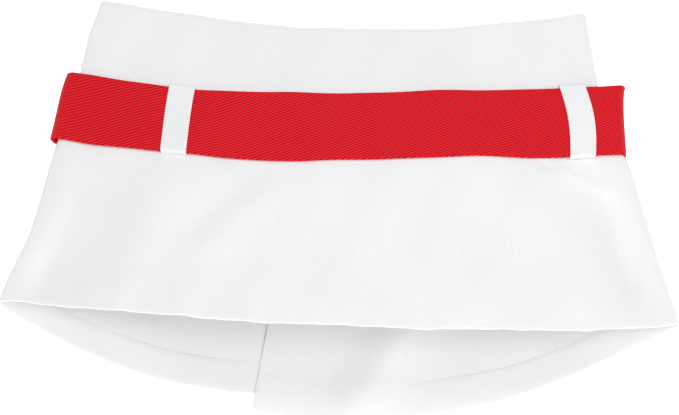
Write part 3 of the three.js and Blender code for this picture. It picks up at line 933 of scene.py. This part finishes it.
def strap(name, face, sign, columns, downs, under, thick, material, grow=None, round_ends=False):
    """A flat strap with rounded long edges, lying a given distance off the skirt."""
    a = np.array([columns(down) for down in downs])
    down = np.clip(np.array(downs)[:, None], downs[0] + HAIR, downs[-1] - HAIR) + 0 * a
    grown = grow(down, a) if grow else 0 * a
    half = line_at(down, "front")[0]
    full = rounding(np.minimum(down - downs[0], downs[-1] - down), PRESSED)
    if round_ends:
        x = a * half
        full = full * rounding(np.minimum(x - x[:, :1], x[:, -1:] - x), PRESSED)
    middle = under + thick / 2
    outer = off_face(face, sign, a, down, middle + full * thick / 2, grown)
    inner = off_face(face, sign, a, down, middle - full * thick / 2, grown)
    return closed_band(name, outer, inner, sign, np.stack([a * half, -down], axis=-1), material)


def edged_rows(start, end):
    """Rows that gather at both ends, where the strap's pressed edge is round."""
    near = PRESSED * EDGE_STEPS
    between = rows_between(start + PRESSED, end - PRESSED)[1:-1]
    return [start + n for n in near] + between + [end - n for n in near[::-1]]


belt_rows = edged_rows(BELT_TOP_AT, BELT_BOTTOM_AT)


def belt_half_at(down, a):
    return line_at(down, "front")[0] + belt_grow(down, a)


def belt_left_columns(down):
    tail = across_of(TAIL_REACH, belt_half_at(down, 0.4))
    return from_fold("left", tail, TAIL_COLUMNS)


def belt_right_columns(down):
    start = across_of(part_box("belt_back_right")[0].x, belt_half_at(down, 0.3))
    return from_fold("right", start, HEAD_COLUMNS)


belt_front = strap("belt_front_strap", front_face, 1, full_columns, belt_rows, BELT_EASE, BELT_THICK,
                   RED_TWILL, belt_grow)
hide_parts("belt_front")
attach(belt_front, "front")
belt_left = strap("belt_back_left_strap", BACK["left"], -1, belt_left_columns, belt_rows, BELT_EASE,
                  BELT_THICK, RED_TWILL, belt_grow)
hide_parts("belt_back_left")
blend_side(belt_left, "left")
belt_right = strap("belt_back_right_strap", BACK["right"], -1, belt_right_columns, belt_rows, BELT_EASE,
                   BELT_THICK, RED_TWILL, belt_grow)
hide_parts("belt_back_right")
blend_side(belt_right, "right")

# ---------------------------------------------------------------------------------------------
# The belt loops: narrow white straps folded in three, caught in the yoke seam at the top and
# tacked to the skirt under the belt.
# ---------------------------------------------------------------------------------------------
LOOP_WIDTH = 17.5 * MM
LOOP_HEAD = 0.4 * MM
LOOP_FOOT = 0.4 * MM
LOOP_RAMP = 0.8 * MM
LOOP_THICK = 1.4 * MM
LOOP_BOW = {"left": -0.5 * MM, "right": 2.6 * MM}
LOOP_PUSHED = {"left": 0, "right": 2.2 * MM}
LOOP_LEAN = 0.5  # share of the skirt's flare that a loop's lean follows
LOOP_ROUND = 1.2 * MM
LOOP_EDGE_STEPS = np.array([0, 0.06, 0.22, 0.5, 0.8, 1.2]) * MM
LOOP_ROWS_APART = 0.4 * MM
LOOP_UNDER, LOOP_OVER_BELT = 0.15 * MM, BELT_STACK + 0.2 * MM
LOOP_STITCH_IN = 2 * MM
FRONT_LOOPS = {"left": -0.60, "right": 0.855}
BACK_LOOPS = {"left": -0.72, "right": 0.72}


def loop_middle(place, down):
    belt_middle = (BELT_TOP_AT + BELT_BOTTOM_AT) / 2
    return place * mix(line_at(belt_middle, "front")[0], line_at(down, "front")[0], LOOP_LEAN)


def belt_loop(name, node, face, sign, place, bow=0.0, pushed=0.0):
    """One loop and its two rows of stitches; bow and pushed say how it has been dragged sideways."""
    top = SEAM_AT - LOOP_HEAD
    bottom = BELT_BOTTOM_AT + LOOP_RAMP + LOOP_FOOT

    def dragged(down):
        along = np.clip((down - top) / (bottom - top), 0, 1)
        return pushed + loop_middle(place, down) + bow * np.sin(along * math.pi)

    downs = np.array(rows_between(top, bottom, LOOP_ROWS_APART))
    bridge = ease((downs - BELT_TOP_AT + LOOP_RAMP) / LOOP_RAMP)
    bridge = bridge * ease((BELT_BOTTOM_AT + LOOP_RAMP - downs) / LOOP_RAMP)
    edge = LOOP_WIDTH / 2 - LOOP_EDGE_STEPS
    offsets = np.concatenate([-edge, np.linspace(-edge[-1], edge[-1], 12)[1:-1], edge[::-1]])
    down = downs[:, None] + 0 * offsets[None]
    grown = (bridge * belt_grow(downs, place))[:, None] + 0 * down
    a = across_of(dragged(down) + offsets[None], line_at(down, "front")[0] + grown)
    thin = rounding(LOOP_WIDTH / 2 - np.abs(offsets), LOOP_ROUND, 0.03)
    middle = mix(LOOP_UNDER, LOOP_OVER_BELT, bridge)[:, None] + 0 * down + LOOP_THICK / 2
    outer = off_face(face, sign, a, down, middle + thin * LOOP_THICK / 2, grown)
    inner = off_face(face, sign, a, down, middle - thin * LOOP_THICK / 2, grown)
    flat = np.stack([offsets[None] + 0 * down, -down], axis=-1)
    loop = closed_band(name, outer, inner, sign, flat, WHITE_TWILL)
    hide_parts(node)
    rows = []
    stitch_offset = LOOP_WIDTH / 2 - LOOP_STITCH_IN
    for row, offset in (("inner", -stitch_offset), ("outer", stitch_offset)):
        line = np.linspace(BELT_TOP_AT + 1 * MM, BELT_BOTTOM_AT - 1 * MM, 120)
        grown = belt_grow(line, place)
        a = across_of(dragged(line) + offset, line_at(line, "front")[0] + grown)
        up = outward(face, sign, a, line, grown)
        lying = off_face(face, sign, a, line, 0 * line + LOOP_OVER_BELT + LOOP_THICK, grown)
        stitched = stitch_row(f"{node}_{row}_stitches", lying, up)
        rows.append(stitched)
    return [loop] + rows


for side, place in FRONT_LOOPS.items():
    node = f"belt_loop_front_{side}"
    for piece in belt_loop(f"{node}_strap", node, front_face, 1, place, LOOP_BOW[side], LOOP_PUSHED[side]):
        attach(piece, "front")
for side, place in BACK_LOOPS.items():
    node = f"belt_loop_back_{side}"
    for piece in belt_loop(f"{node}_strap", node, BACK[side], -1, place):
        blend_side(piece, side)

# ---------------------------------------------------------------------------------------------
# The closure: white hook-and-loop tape sewn inside the left back edge and outside the right
# one, and two patches that hold the belt's ends together.
# ---------------------------------------------------------------------------------------------
TAPE_THICK = 1 * MM
TAPE_END_IN = 1 * MM
TAPE_COLUMNS = 14
TAPE_MIDDLE_DOWN = np.array(90 * MM)
# Each tape or patch: the back half it is sewn to, and how far off that half's face it lies.
TAPE_LAYERS = {
    "hook_tape_left": ("left", -CLOTH - HEM_LAYER - LAYER - TAPE_THICK),
    "loop_tape_right": ("right", 0.15 * MM),
    "belt_hook_patch": ("left", -1.2 * MM),
    "belt_loop_patch": ("right", BELT_STACK + 0.2 * MM),
}


def tape_material():
    """Woven nylon tape with a dense bed of tiny hooks or looped pile, painted darker down between them as
    shade.
    """
    material = bpy.data.materials.new("hook_and_loop")
    material.use_nodes = True
    tree = material.node_tree
    shader = tree.nodes["Principled BSDF"]
    place = tree.nodes.new("ShaderNodeTexCoord")
    pile = tree.nodes.new("ShaderNodeTexVoronoi")
    pile.inputs["Scale"].default_value = 1100
    tree.links.new(place.outputs["Object"], pile.inputs["Vector"])
    # Grey deepens away from each cell's middle, where the bump sinks: painted shade between the hooks and
    # pile loops.
    tint = tree.nodes.new("ShaderNodeMix")
    tint.data_type = "RGBA"
    tint.inputs["A"].default_value = (0.86, 0.86, 0.88, 1)
    tint.inputs["B"].default_value = (0.62, 0.63, 0.66, 1)
    tree.links.new(pile.outputs["Distance"], tint.inputs["Factor"])
    tree.links.new(tint.outputs["Result"], shader.inputs["Base Color"])
    bump = tree.nodes.new("ShaderNodeBump")
    bump.inputs["Distance"].default_value = 0.4 * MM
    bump.invert = True
    tree.links.new(pile.outputs["Distance"], bump.inputs["Height"])
    tree.links.new(bump.outputs["Normal"], shader.inputs["Normal"])
    shader.inputs["Roughness"].default_value = 0.7
    shader.inputs["Sheen Weight"].default_value = 0.3
    return material


TAPE = tape_material()
for node, (side, under) in TAPE_LAYERS.items():
    low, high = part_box(node)
    half, _, _, dip = line_at(TAPE_MIDDLE_DOWN, side)
    crown = 1 - ((low.x + high.x) / 2 / half) ** 2
    first = WAIST_Y - high.y - dip * crown + TAPE_END_IN
    last = WAIST_Y - low.y - dip * crown - TAPE_END_IN

    def tape_columns(down, low=low, high=high, side=side):
        half = line_at(down, side)[0]
        return np.linspace(across_of(low.x, half), across_of(high.x, half), TAPE_COLUMNS)

    tape = strap(f"{node}_piece", BACK[side], -1, tape_columns, edged_rows(first, last), under, TAPE_THICK,
                 TAPE, round_ends=True)
    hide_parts(node)
    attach(tape, f"back_{side}")
